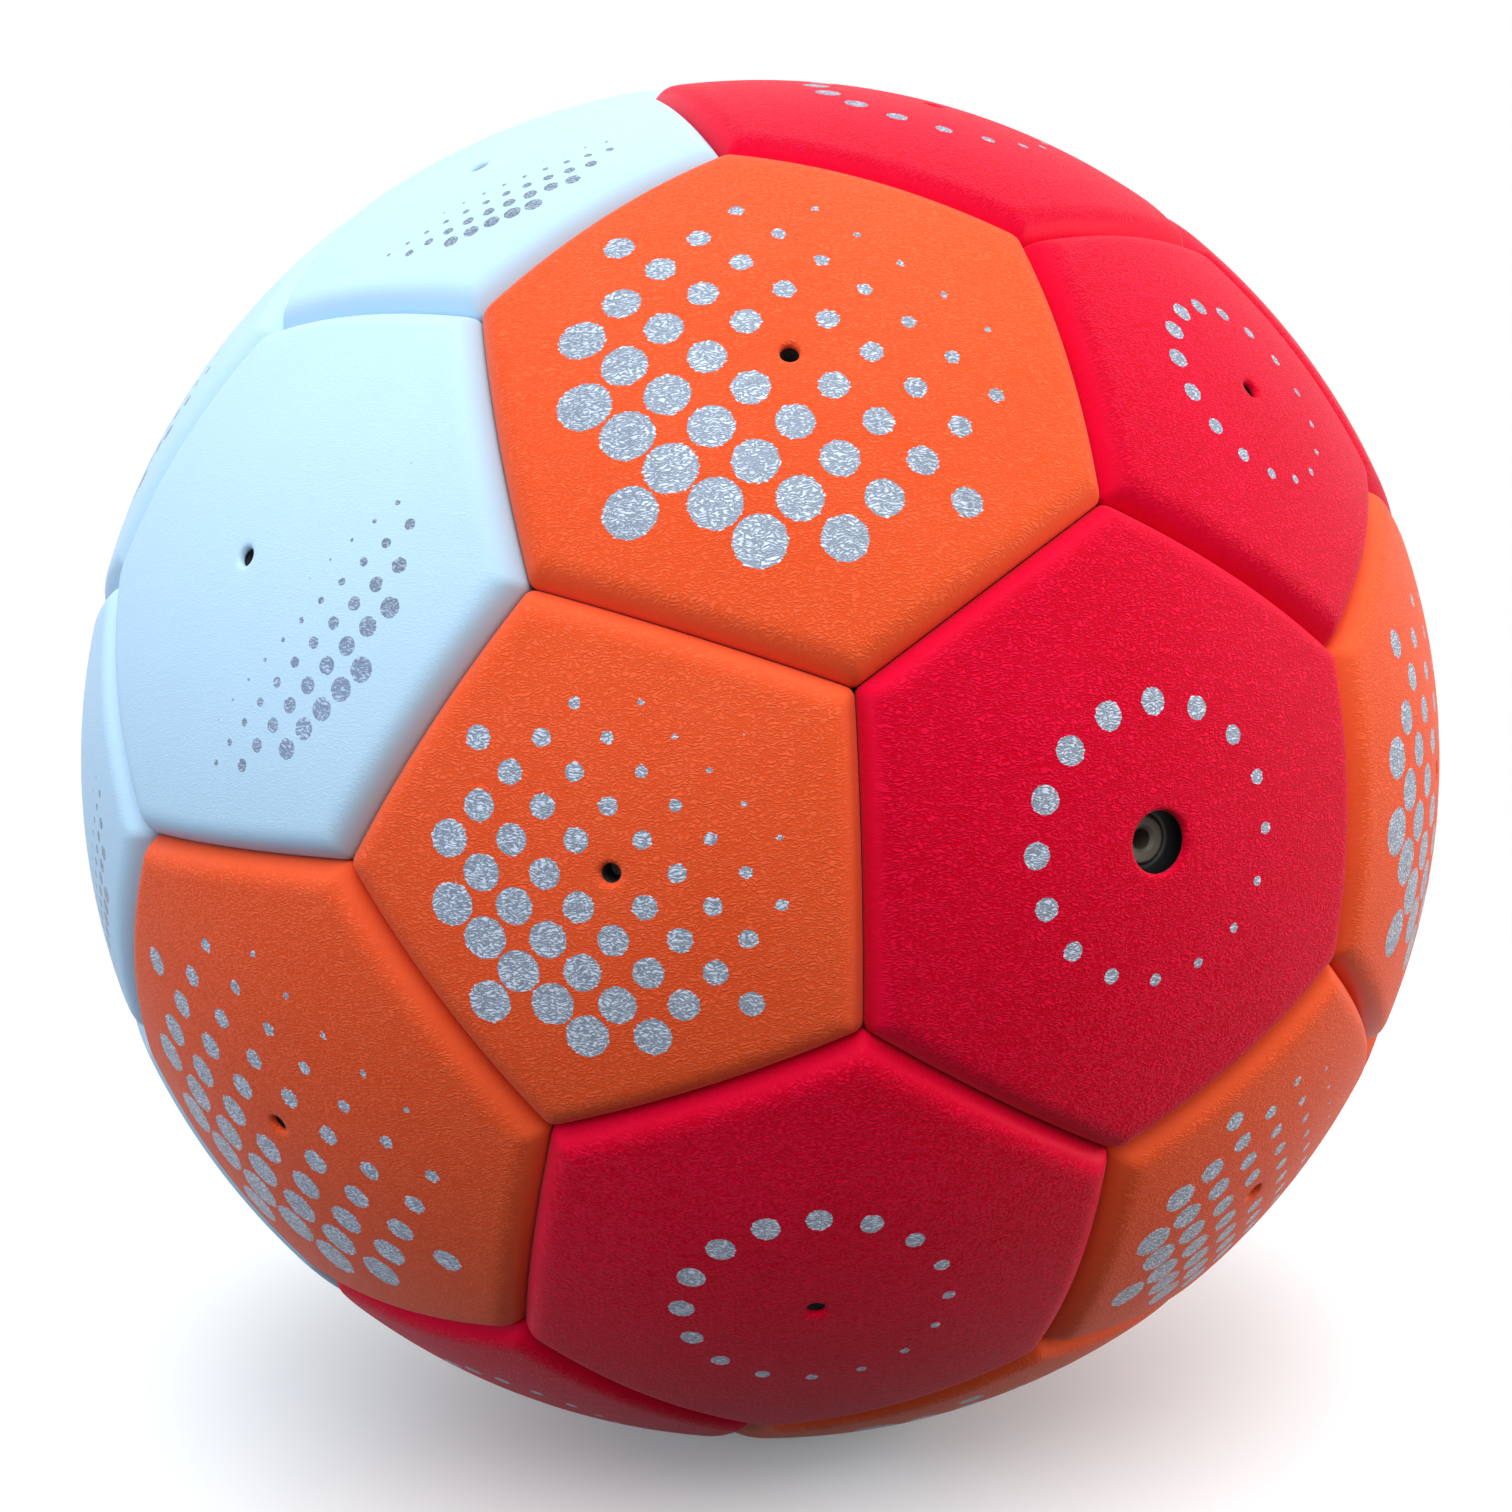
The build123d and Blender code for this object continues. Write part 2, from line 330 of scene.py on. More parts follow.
# Plain weave of 0.9 mm yarns, drawn as two crossed waves that waver a little: matt, with a soft fuzz
weave = [
    add_node(
        cloth_tree,
        "ShaderNodeTexWave",
        {"Vector": cloth_spot, "Scale": wave_length / yarn_pitch, "Distortion": 0.4, "Detail": 1},
        bands_direction=direction,
    ).outputs[1]
    for direction in ("X", "Z")
]
weave_height = add_node(
    cloth_tree, "ShaderNodeMath", {0: weave[0], 1: weave[1]}, operation="MULTIPLY"
).outputs[0]
cloth_colour = add_node(
    cloth_tree,
    "ShaderNodeMix",
    {"Factor": weave_height, "A": linear("#A8A296"), "B": linear("#E4DFD2")},
    data_type="RGBA",
)
cloth_bump = add_node(
    cloth_tree, "ShaderNodeBump", {"Height": weave_height, "Strength": 0.6, "Distance": weave_depth}
)
cloth_shader = cloth_tree.nodes["Principled BSDF"]
cloth_tree.links.new(cloth_colour.outputs["Result"], cloth_shader.inputs["Base Color"])
cloth_tree.links.new(cloth_bump.outputs["Normal"], cloth_shader.inputs["Normal"])
cloth_shader.inputs["Roughness"].default_value = 0.9
cloth_shader.inputs["Sheen Weight"].default_value = 0.2

for piece_name, node_name, side_count, half_angle, hole_radius, turns in (
    ("hexagon_lining_cloths", "hexagon_linings", 6, hexagon_half_angle, 0, hexagon_turns),
    ("pentagon_lining_cloths", "pentagon_linings", 5, pentagon_half_angle, 0, pentagon_turns),
    ("valve_lining_cloth", "valve_lining", 6, hexagon_half_angle, neck_hole_radius, [valve_panel_turn]),
):
    panel_outline(
        side_count, half_angle, layer_inset, lining_radius, lining_corner, layer_side_cuts, layer_corner_cuts
    )
    panel_field(lining_radius, hole_radius, lining_rings)
    pattern = bpy.context.object
    apply_modifier(pattern, "SOLIDIFY", thickness=lining_thickness, offset=-1)
    bpy.ops.object.shade_smooth_by_angle(angle=smoothing_angle)
    lining = place_group(pattern, piece_name, turns)
    bpy.data.objects.remove(pattern)
    finish_piece(lining, lining_cloth, "lining_cloth", "ball", node_name)

# Foam pads
# Closed-cell foam, 3 mm thick, cut to each panel's shape and bonded under its skin. The upper rim is rolled
# over, which gives the ball's soft seams, and the middle is pierced for air or for the valve.
pad_radius = outer_radius - 1.0 * mm
pad_thickness = 3.0 * mm
pad_corner = 1.3 * mm
pad_roll = 1.2 * mm
pad_roll_cuts = 4
pad_rings = 8
pad_top = pad_radius - 0.1 * mm
pad_edge_angle = radians(45)
breather_radius = 0.9 * mm
foam_cell = 0.5 * mm
foam_cell_depth = 0.2 * mm


def on_upper_rim(edge):
    """Whether an edge of a pad is part of its upper outer rim."""
    on_top = min(vertex.co.length for vertex in edge.verts) > pad_top
    off_middle = edge.verts[0].co.xy.length > 2 * neck_hole_radius
    return on_top and off_middle and edge.calc_face_angle(0) > pad_edge_angle


foam = bpy.data.materials.new("closed_cell_foam")
foam.use_nodes = True
foam_tree = foam.node_tree
foam_spot = add_node(foam_tree, "ShaderNodeTexCoord").outputs["Object"]
# Cells of half a millimetre, matt and dark grey: shallow cups with paler walls between them
cells = add_node(foam_tree, "ShaderNodeTexVoronoi", {"Vector": foam_spot, "Scale": 1 / foam_cell})
cell_height = cells.outputs["Distance"]
foam_colour = add_node(
    foam_tree,
    "ShaderNodeMix",
    {"Factor": cell_height, "A": linear("#2A2B2D"), "B": linear("#424447")},
    data_type="RGBA",
)
foam_bump = add_node(
    foam_tree, "ShaderNodeBump", {"Height": cell_height, "Strength": 0.7, "Distance": foam_cell_depth}
)
foam_shader = foam_tree.nodes["Principled BSDF"]
foam_tree.links.new(foam_colour.outputs["Result"], foam_shader.inputs["Base Color"])
foam_tree.links.new(foam_bump.outputs["Normal"], foam_shader.inputs["Normal"])
foam_shader.inputs["Roughness"].default_value = 0.85

for piece_name, node_name, side_count, half_angle, hole_radius, turns in (
    ("hexagon_pads_of_foam", "hexagon_foam_pads", 6, hexagon_half_angle, breather_radius, hexagon_turns),
    ("pentagon_pads_of_foam", "pentagon_foam_pads", 5, pentagon_half_angle, breather_radius, pentagon_turns),
    ("valve_pad_of_foam", "valve_foam_pad", 6, hexagon_half_angle, neck_hole_radius, [valve_panel_turn]),
):
    panel_outline(
        side_count, half_angle, layer_inset, pad_radius, pad_corner, layer_side_cuts, layer_corner_cuts
    )
    panel_field(pad_radius, hole_radius, pad_rings)
    pattern = bpy.context.object
    apply_modifier(pattern, "SOLIDIFY", thickness=pad_thickness, offset=-1)
    bpy.ops.object.mode_set(mode="EDIT")
    pick("EDGE", on_upper_rim)
    bpy.ops.mesh.bevel(offset=pad_roll, segments=pad_roll_cuts, affect="EDGES")
    bpy.ops.object.mode_set(mode="OBJECT")
    bpy.ops.object.shade_smooth_by_angle(angle=smoothing_angle)
    pad = place_group(pattern, piece_name, turns)
    bpy.data.objects.remove(pattern)
    finish_piece(pad, foam, "foam", "ball", node_name)

# Cover panels
# Thirty-two panels of polyurethane leather with a fine wrinkled grain, in orange, red and white, printed with
# dots of foil. Each rim rolls over the pad's edge and turns down into the seam, where it is sewn.
skin_thickness = 0.9 * mm
skin_inset = 0.03 * mm
skin_corner = 1.1 * mm
skin_side_cuts = 11
skin_corner_cuts = 4
hexagon_skin_rings = 14
pentagon_skin_rings = 11
rim_width = 3.4 * mm
rim_depth = 2.2 * mm
rim_steepness = 3
rim_rings = 8
rim_crowding = 1.2
ring_rounding = 0.008
skirt_floor = outer_radius - 4.0 * mm
skirt_rings = 3
valve_hole_radius = 2.8 * mm
breather_lip = 0.85 * mm
breather_roll = 0.55 * mm
valve_roll = 0.5 * mm
hole_roll_cuts = 3


def rim_offset(ring):
    """How far a ring of the rim lies from the seam, and how deep under the crown: steepest at the seam."""
    share = (ring / rim_rings) ** rim_crowding
    return rim_width * share, rim_depth * (1 - share) ** rim_steepness


def cover_panel(name, side_count, half_angle, hole_radius, hole_roll, field_rings):
    """A panel's skin, crown up: a tray with a rolled rim, a turned-down skirt and a hole in its middle."""
    half_width = panel_outline(
        side_count, half_angle, skin_inset, outer_radius, skin_corner, skin_side_cuts, skin_corner_cuts
    )
    crown = (0, 0, outer_radius)
    ball_centre = (0, 0, 0)
    stretch = 1 / cos(half_angle) ** 2
    ring_widths = [half_width - stretch * rim_offset(ring)[0] for ring in range(rim_rings + 1)]
    for outer_width, inner_width in zip(ring_widths, ring_widths[1:]):
        share = inner_width / outer_width
        bpy.ops.mesh.extrude_edges_indiv()
        bpy.ops.transform.resize(value=(share, share, 1), center_override=crown)
        bpy.ops.transform.tosphere(value=ring_rounding, center_override=crown)
    panel_field(outer_radius, hole_radius, field_rings)
    skin = bpy.context.object
    skin.name = name
    bpy.ops.object.mode_set(mode="EDIT")
    pick("VERT", lambda vertex: vertex.is_boundary and vertex.co.xy.length > half_width / 2)
    for ring in range(rim_rings):
        share = (outer_radius - rim_offset(ring)[1]) / (outer_radius - rim_offset(ring + 1)[1])
        bpy.ops.transform.resize(value=(share,) * 3, center_override=ball_centre)
        bpy.ops.mesh.select_more()
    crease_radius = outer_radius - rim_offset(0)[1]
    skirt_share = (skirt_floor / crease_radius) ** (1 / skirt_rings)
    pick("EDGE", lambda edge: edge.is_boundary and edge.verts[0].co.xy.length > half_width / 2)
    for _ in range(skirt_rings):
        bpy.ops.mesh.extrude_edges_indiv()
        bpy.ops.transform.resize(value=(skirt_share,) * 3, center_override=ball_centre)
    bpy.ops.mesh.select_all(action="SELECT")
    bpy.ops.mesh.normals_make_consistent(inside=False)
    bpy.ops.object.mode_set(mode="OBJECT")
    apply_modifier(skin, "SOLIDIFY", thickness=skin_thickness, offset=-1, use_even_offset=True)
    bpy.ops.object.mode_set(mode="EDIT")
    half_way_down = outer_radius - skin_thickness / 2
    just_past_hole = 1.02 * hole_radius
    pick(
        "EDGE",
        lambda edge: min(vertex.co.length for vertex in edge.verts) > half_way_down
        and max(vertex.co.xy.length for vertex in edge.verts) < just_past_hole,
    )
    bpy.ops.mesh.bevel(offset=hole_roll, segments=hole_roll_cuts, affect="EDGES")
    bpy.ops.object.mode_set(mode="OBJECT")
    apply_modifier(skin, "SUBSURF", levels=1, render_levels=1)
    bpy.ops.object.shade_smooth()
    return skin


def lay_maps(panel, axis, half_angle):
    """Two maps seen square on to the panel, U level and V up: the grain's in millimetres, and the print's
    with the middle of a side at 1."""
    level = Vector((0, 0, 1)).cross(axis).normalized()
    rise = axis.cross(level)
    places = np.empty(len(panel.data.vertices) * 3, np.float32)
    panel.data.vertices.foreach_get("co", places)
    corners = np.empty(len(panel.data.loops), np.int32)
    panel.data.loops.foreach_get("vertex_index", corners)
    flat = places.reshape(-1, 3)[corners] @ np.array((level, rise)).T
    for name, unit in (("grain", mm), ("print", outer_radius * sin(half_angle))):
        panel_map = panel.data.uv_layers.new(name=name)
        panel_map.uv.foreach_set("vector", (flat / unit).astype(np.float32).ravel())


def field_of_dots(tree, print_map, ragged, pitch, aim, reach, span, largest):
    """Where a field of printed dots lies: a slanted lattice of whole dots inside a circle, but for its
    middle. They grow from nothing to the largest, in shares of the pitch, over the span along the aim."""
    lattice_turn = pi / 4
    edge_raggedness = 0.12
    reach_in_dots = reach / pitch
    turned = add_node(
        tree,
        "ShaderNodeMapping",
        {"Vector": print_map, "Rotation": (0, 0, lattice_turn), "Scale": (1 / pitch,) * 3},
    )
    lattice = add_node(
        tree,
        "ShaderNodeTexVoronoi",
        {"Vector": turned.outputs[0], "Scale": 1, "Randomness": 0},
        voronoi_dimensions="2D",
    ).outputs
    along = add_node(
        tree,
        "ShaderNodeVectorMath",
        {0: lattice["Position"], 1: (cos(aim + lattice_turn), sin(aim + lattice_turn), 0)},
        operation="DOT_PRODUCT",
    ).outputs["Value"]
    size = add_node(
        tree, "ShaderNodeMapRange", {0: along, 1: span[0] / pitch, 2: span[1] / pitch, 3: 0, 4: largest}
    ).outputs[0]
    distance = add_node(
        tree,
        "ShaderNodeMath",
        {0: ragged, 1: edge_raggedness, 2: lattice["Distance"]},
        operation="MULTIPLY_ADD",
    ).outputs[0]
    dot = add_node(tree, "ShaderNodeMath", {0: distance, 1: size}, operation="LESS_THAN").outputs[0]
    off_middle = add_node(
        tree, "ShaderNodeVectorMath", {0: lattice["Position"]}, operation="LENGTH"
    ).outputs["Value"]
    # Whole dots from half a pitch off the middle out to the reach
    inside = add_node(
        tree,
        "ShaderNodeMath",
        {0: off_middle, 1: (reach_in_dots + 0.5) / 2, 2: (reach_in_dots - 0.5) / 2},
        operation="COMPARE",
    ).outputs[0]
    return add_node(tree, "ShaderNodeMath", {0: dot, 1: inside}, operation="MULTIPLY").outputs[0]


def ring_of_dots(tree, print_map, ragged, middle, count, aim, largest):
    """Where a ring of printed dots lies: largest on the side of the aim, and a third of that opposite."""
    step = 2 * pi / count
    edge_raggedness = 0.012
    radius = add_node(tree, "ShaderNodeVectorMath", {0: print_map}, operation="LENGTH").outputs["Value"]
    axes = add_node(tree, "ShaderNodeSeparateXYZ", {0: print_map}).outputs
    angle = add_node(tree, "ShaderNodeMath", {0: axes["Y"], 1: axes["X"]}, operation="ARCTAN2").outputs[0]
    steps = add_node(tree, "ShaderNodeMath", {0: angle, 1: 1 / step}, operation="MULTIPLY").outputs[0]
    place = add_node(tree, "ShaderNodeMath", {0: steps}, operation="ROUND").outputs[0]
    off_place = add_node(tree, "ShaderNodeMath", {0: steps, 1: place}, operation="SUBTRACT").outputs[0]
    across = add_node(tree, "ShaderNodeMath", {0: off_place, 1: step * middle}, operation="MULTIPLY")
    outward = add_node(tree, "ShaderNodeMath", {0: radius, 1: middle}, operation="SUBTRACT")
    offset = add_node(tree, "ShaderNodeCombineXYZ", {"X": across.outputs[0], "Y": outward.outputs[0]})
    length = add_node(tree, "ShaderNodeVectorMath", {0: offset.outputs[0]}, operation="LENGTH")
    distance = add_node(
        tree,
        "ShaderNodeMath",
        {0: ragged, 1: edge_raggedness, 2: length.outputs["Value"]},
        operation="MULTIPLY_ADD",
    ).outputs[0]
    bearing = add_node(tree, "ShaderNodeMath", {0: place, 1: step, 2: -aim}, operation="MULTIPLY_ADD")
    nearness = add_node(tree, "ShaderNodeMath", {0: bearing.outputs[0]}, operation="COSINE").outputs[0]
    size = add_node(
        tree, "ShaderNodeMath", {0: nearness, 1: largest / 3, 2: largest * 2 / 3}, operation="MULTIPLY_ADD"
    ).outputs[0]
    return add_node(tree, "ShaderNodeMath", {0: distance, 1: size}, operation="LESS_THAN").outputs[0]


def cover_leather(name, crease_shade, crest, glint, relief, foil_shades, print_of):
    """Polyurethane leather, embossed with fine level wrinkles: satin, with painted shade in the creases and a
    painted highlight on the crests, smoother on the rims where it is stretched. Foil is hot-pressed on it,
    with painted shade in its creases."""
    # On the grain's map, in its millimetres: wrinkles, and the sway of their lines
    wrinkle_length = 0.62
    wrinkle_spacing = 0.27
    sway_size = 1.4286
    # On the ball: the wrinkles' depth, patches of paler dye, and the depths where the grain is full and faint
    wrinkle_depth = 0.08 * mm
    dye_patch = 11.11 * mm
    full_grain_radius = outer_radius - 0.05 * mm
    faint_grain_radius = outer_radius - 0.9 * mm
    faint_relief = 0.15 * relief
    crease_width = 0.17
    middle_height = 0.55
    middle_tone = 0.38 * relief
    dye_contrast = 0.3
    rim_roughness = 0.34
    face_roughness = 0.44
    foil_roughness = 0.36
    foil_metal = 0.25
    foil_crease_shade, foil_crest = [linear(shade) for shade in foil_shades]
    material = bpy.data.materials.new(name)
    material.use_nodes = True
    tree = material.node_tree
    shader = tree.nodes["Principled BSDF"]
    grain_map = add_node(tree, "ShaderNodeUVMap", uv_map="grain").outputs["UV"]
    print_map = add_node(tree, "ShaderNodeUVMap", uv_map="print").outputs["UV"]
    spot = add_node(tree, "ShaderNodeTexCoord").outputs["Object"]

    sway = add_node(tree, "ShaderNodeTexNoise", {"Vector": grain_map, "Scale": 1 / sway_size, "Detail": 1})
    swayed = add_node(
        tree,
        "ShaderNodeVectorMath",
        {0: sway.outputs["Color"], 1: (1, 1, 0), 2: grain_map},
        operation="MULTIPLY_ADD",
    ).outputs[0]
    stretched = add_node(
        tree,
        "ShaderNodeVectorMath",
        {0: swayed, 1: (1 / wrinkle_length, 1 / wrinkle_spacing, 1)},
        operation="MULTIPLY",
    ).outputs[0]
    folds = add_node(
        tree, "ShaderNodeTexNoise", {"Vector": stretched, "Scale": 1, "Detail": 2, "Roughness": 0.5}
    ).outputs[0]
    ragged = add_node(tree, "ShaderNodeMath", {0: folds, 1: 0.5}, operation="SUBTRACT").outputs[0]
    creases = add_node(tree, "ShaderNodeMath", {0: ragged}, operation="ABSOLUTE").outputs[0]
    wrinkles = add_node(
        tree,
        "ShaderNodeMapRange",
        {0: creases, 1: 0, 2: crease_width, 3: 0, 4: 1},
        interpolation_type="SMOOTHSTEP",
    ).outputs[0]
    depth = add_node(tree, "ShaderNodeVectorMath", {0: spot}, operation="LENGTH").outputs["Value"]
    grain = add_node(
        tree,
        "ShaderNodeMapRange",
        {0: depth, 1: faint_grain_radius, 2: full_grain_radius, 3: faint_relief, 4: relief},
        interpolation_type="SMOOTHSTEP",
    ).outputs[0]
    bump = add_node(
        tree, "ShaderNodeBump", {"Height": wrinkles, "Strength": grain, "Distance": wrinkle_depth}
    ).outputs["Normal"]

    dye = add_node(tree, "ShaderNodeTexNoise", {"Vector": spot, "Scale": 1 / dye_patch, "Detail": 3})
    # Painted shade and highlight: the leather is coloured darker in the grain's creases and paler on its
    # crests
    sunken = add_node(tree, "ShaderNodeMath", {0: middle_height, 1: wrinkles}, operation="SUBTRACT")
    shaded = add_node(
        tree, "ShaderNodeMath", {0: sunken.outputs[0], 1: grain, 2: middle_tone}, operation="MULTIPLY_ADD"
    ).outputs[0]
    tone = add_node(
        tree, "ShaderNodeMath", {0: dye.outputs[0], 1: dye_contrast, 2: shaded}, operation="MULTIPLY_ADD"
    ).outputs[0]
    leather = add_node(
        tree, "ShaderNodeMix", {"Factor": tone, "A": linear(crest), "B": linear(crease_shade)}, data_type="RGBA"
    ).outputs["Result"]

    foil = print_of(tree, print_map, ragged)
    # Painted shade: the foil is coloured darker in the grain's creases and paler on its crests
    silver = add_node(
        tree, "ShaderNodeMix", {"Factor": wrinkles, "A": foil_crease_shade, "B": foil_crest}, data_type="RGBA"
    ).outputs["Result"]
    colour = add_node(
        tree, "ShaderNodeMix", {"Factor": foil, "A": leather, "B": silver}, data_type="RGBA"
    ).outputs["Result"]
    metal = add_node(tree, "ShaderNodeMath", {0: foil, 1: foil_metal}, operation="MULTIPLY").outputs[0]
    satin = add_node(
        tree,
        "ShaderNodeMapRange",
        {0: grain, 1: faint_relief, 2: relief, 3: rim_roughness, 4: face_roughness},
    ).outputs[0]
    polish = add_node(
        tree, "ShaderNodeMix", {"Factor": foil, 2: satin, 3: foil_roughness}, data_type="FLOAT"
    ).outputs[0]
    tree.links.new(colour, shader.inputs["Base Color"])
    tree.links.new(metal, shader.inputs["Metallic"])
    tree.links.new(polish, shader.inputs["Roughness"])
    tree.links.new(bump, shader.inputs["Normal"])
    shader.inputs["IOR"].default_value = 1.48
    shader.inputs["Specular IOR Level"].default_value = 0.03
    shader.inputs["Specular Tint"].default_value = linear(glint)
    shader.inputs["Sheen Weight"].default_value = 0.07
    shader.inputs["Sheen Roughness"].default_value = 0.4
    return material


def orange_print(tree, print_map, ragged):
    """A wide field of large dots, which grow towards the lower left."""
    return field_of_dots(
        tree, print_map, ragged, pitch=0.19, aim=radians(225), reach=0.78, span=(-0.75, 0.55), largest=0.47
    )


def white_print(tree, print_map, ragged):
    """A narrow field of small dots, which grow towards the lower right."""
    return field_of_dots(
        tree, print_map, ragged, pitch=0.1, aim=radians(-35), reach=0.76, span=(0.3, 0.75), largest=0.45
    )


def red_print(tree, print_map, ragged):
    """A ring of dots, the largest at the upper left."""
    return ring_of_dots(tree, print_map, ragged, middle=0.46, count=16, aim=radians(135), largest=0.05)


# Foil colours: in the grain's creases, as painted shade, and on its crests
silver_foil = ("#7C8594", "#CBD6E4")
grey_foil = ("#6C7787", "#A4B2C3")
# Each leather: its colour with painted shade in the creases, its paler crests, its specular tint, its relief
leathers = {
    "orange": cover_leather(
        "orange_polyurethane_leather", "#DC4614", "#F3653E", "#FFD8C8", 0.6, silver_foil, orange_print
    ),
    "red": cover_leather(
        "red_polyurethane_leather", "#C6001C", "#EF1040", "#FFB8C0", 0.8, silver_foil, red_print
    ),
    "white": cover_leather(
        "white_polyurethane_leather", "#ACCCE3", "#BCD8EB", "#FFFFFF", 0.2, grey_foil, white_print
    ),
}
hexagon_skin = cover_panel(
    "hexagon_skin", 6, hexagon_half_angle, breather_lip, breather_roll, hexagon_skin_rings
)
pentagon_skin = cover_panel(
    "pentagon_skin", 5, pentagon_half_angle, breather_lip, breather_roll, pentagon_skin_rings
)
valve_skin = cover_panel(
    "valve_skin", 6, hexagon_half_angle, valve_hole_radius, valve_roll, hexagon_skin_rings
)
panel_shapes = {
    "hexagon": (hexagon_skin, hexagon_half_angle, hexagon_axes, pentagon_axes),
    "pentagon": (pentagon_skin, pentagon_half_angle, pentagon_axes, hexagon_axes),
    "valve": (valve_skin, hexagon_half_angle, hexagon_axes, pentagon_axes),
}
panel_nodes = sorted(name for name in frame["nodes"] if name.endswith("panel") or "_panel_" in name)
for node_name in panel_nodes:
    colour, shape = ("red", "valve") if node_name == "valve_panel" else node_name.split("_")[:2]
    skin, half_angle, axes, neighbours = panel_shapes[shape]
    aim = sum(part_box(node_name), Vector())
    axis = min(axes, key=aim.angle)
    panel = place_copy(skin, node_name.replace("panel", "cover"), turn_to(axis, neighbours))
    lay_maps(panel, axis, half_angle)
    finish_piece(panel, leathers[colour], f"{colour}_cover", "ball", node_name)
for skin in (hexagon_skin, pentagon_skin, valve_skin):
    bpy.data.objects.remove(skin)

# Seam threads
# Waxed polyester thread, one run of stitches under each of the ninety seams, just inside the turned-in rims.
# Each stitch is drawn tight where it passes through the skirts, so the thread is pinched at even steps.
thread_radius = 0.4 * mm
thread_pinch = 0.1 * mm
thread_path_radius = outer_radius - 4.5 * mm
thread_end_gap = 1.0 * mm
thread_steps = 240
thread_sides = 8
thread_cuts = 3
least_step = radians(0.01)
stitch_angle = radians(3)
pinch_share = 0.05
seam_margin = radians(1)
ply_pitch = 0.5236 * mm
thread_half_angle = atan(sin(hexagon_half_angle) * tan(pi / 6)) - thread_end_gap / thread_path_radius
thread = bpy.data.materials.new("waxed_polyester_thread")
thread.use_nodes = True
thread_tree = thread.node_tree
thread_spot = add_node(thread_tree, "ShaderNodeTexCoord").outputs["Object"]
# Twisted plies half a millimetre apart, darkened and dulled by wax: slanted bands with a faint gloss
ply = add_node(
    thread_tree,
    "ShaderNodeTexWave",
    {"Vector": thread_spot, "Scale": wave_length / ply_pitch, "Distortion": 1},
    bands_direction="DIAGONAL",
)
thread_colour = add_node(
    thread_tree,
    "ShaderNodeMix",
    {"Factor": ply.outputs[1], "A": linear("#4A4640"), "B": linear("#6D6860")},
    data_type="RGBA",
)
thread_shader = thread_tree.nodes["Principled BSDF"]
thread_tree.links.new(thread_colour.outputs["Result"], thread_shader.inputs["Base Color"])
thread_shader.inputs["Roughness"].default_value = 0.6

bpy.ops.object.select_all(action="DESELECT")
bpy.ops.mesh.primitive_torus_add(
    major_segments=thread_steps,
    minor_segments=thread_sides,
    major_radius=thread_path_radius,
    minor_radius=thread_radius,
)
stitching = bpy.context.object
bpy.ops.object.mode_set(mode="EDIT")
for way in (1, -1):
    bpy.ops.mesh.select_all(action="SELECT")
    outward = (-sin(thread_half_angle), way * cos(thread_half_angle), 0)
    bpy.ops.mesh.bisect(plane_co=(0, 0, 0), plane_no=outward, clear_outer=True, use_fill=True)


def thread_angle(vertex):
    """How far along the thread a vertex lies, as an angle from the seam's middle."""
    return atan2(vertex.co.y, vertex.co.x)


def is_pinched(vertex):
    """Whether a vertex lies where a stitch draws the thread tight."""
    stitches = thread_angle(vertex) / stitch_angle
    return abs(stitches - round(stitches)) < pinch_share


pick("EDGE", lambda edge: abs(thread_angle(edge.verts[0]) - thread_angle(edge.verts[1])) > least_step)
bpy.ops.mesh.subdivide(number_cuts=thread_cuts)
pick("VERT", is_pinched)
bpy.ops.transform.shrink_fatten(value=-thread_pinch)
bpy.ops.object.mode_set(mode="OBJECT")
bpy.ops.object.shade_smooth_by_angle(angle=smoothing_angle)
seam_turns = []
for first, second in combinations(hexagon_axes + pentagon_axes, 2):
    if first.angle(second) < 2 * hexagon_half_angle + seam_margin:
        along = first.cross(second).normalized()
        middle = Matrix.Rotation(hexagon_half_angle, 3, along) @ first
        seam_turns.append(Matrix((middle, along, middle.cross(along))).transposed().to_4x4())
stitched_threads = place_group(stitching, "stitched_threads", seam_turns)
bpy.data.objects.remove(stitching)
finish_piece(stitched_threads, thread, "thread", "ball", "seam_threads")

# Floor and light
# White studio paper under the ball, which fades into a white background far out. A pale dome and four soft
# lamps light the ball from above and from its sides.
floor_size = 8.0
floor_near = 0.05
floor_reach = 0.32
near_glow = 0.1
dome_foot = -0.05
dome_top = 0.3
lamp_size = 0.6
white_light = linear("#FFFFFF")


def background_rays(tree):
    """The rays that see the white background: the camera's, and those mirrored or let through."""
    rays = add_node(tree, "ShaderNodeLightPath").outputs
    seen = add_node(
        tree, "ShaderNodeMath", {0: rays["Is Camera Ray"], 1: rays["Is Glossy Ray"]}, operation="MAXIMUM"
    ).outputs[0]
    return add_node(
        tree, "ShaderNodeMath", {0: seen, 1: rays["Is Transmission Ray"]}, operation="MAXIMUM"
    ).outputs[0]


bpy.ops.object.select_all(action="DESELECT")
bpy.ops.mesh.primitive_plane_add(size=floor_size, location=(0, 0, cad_lowest.z))
floor = bpy.context.object
floor.name = "studio_floor"
bpy.ops.object.transform_apply()
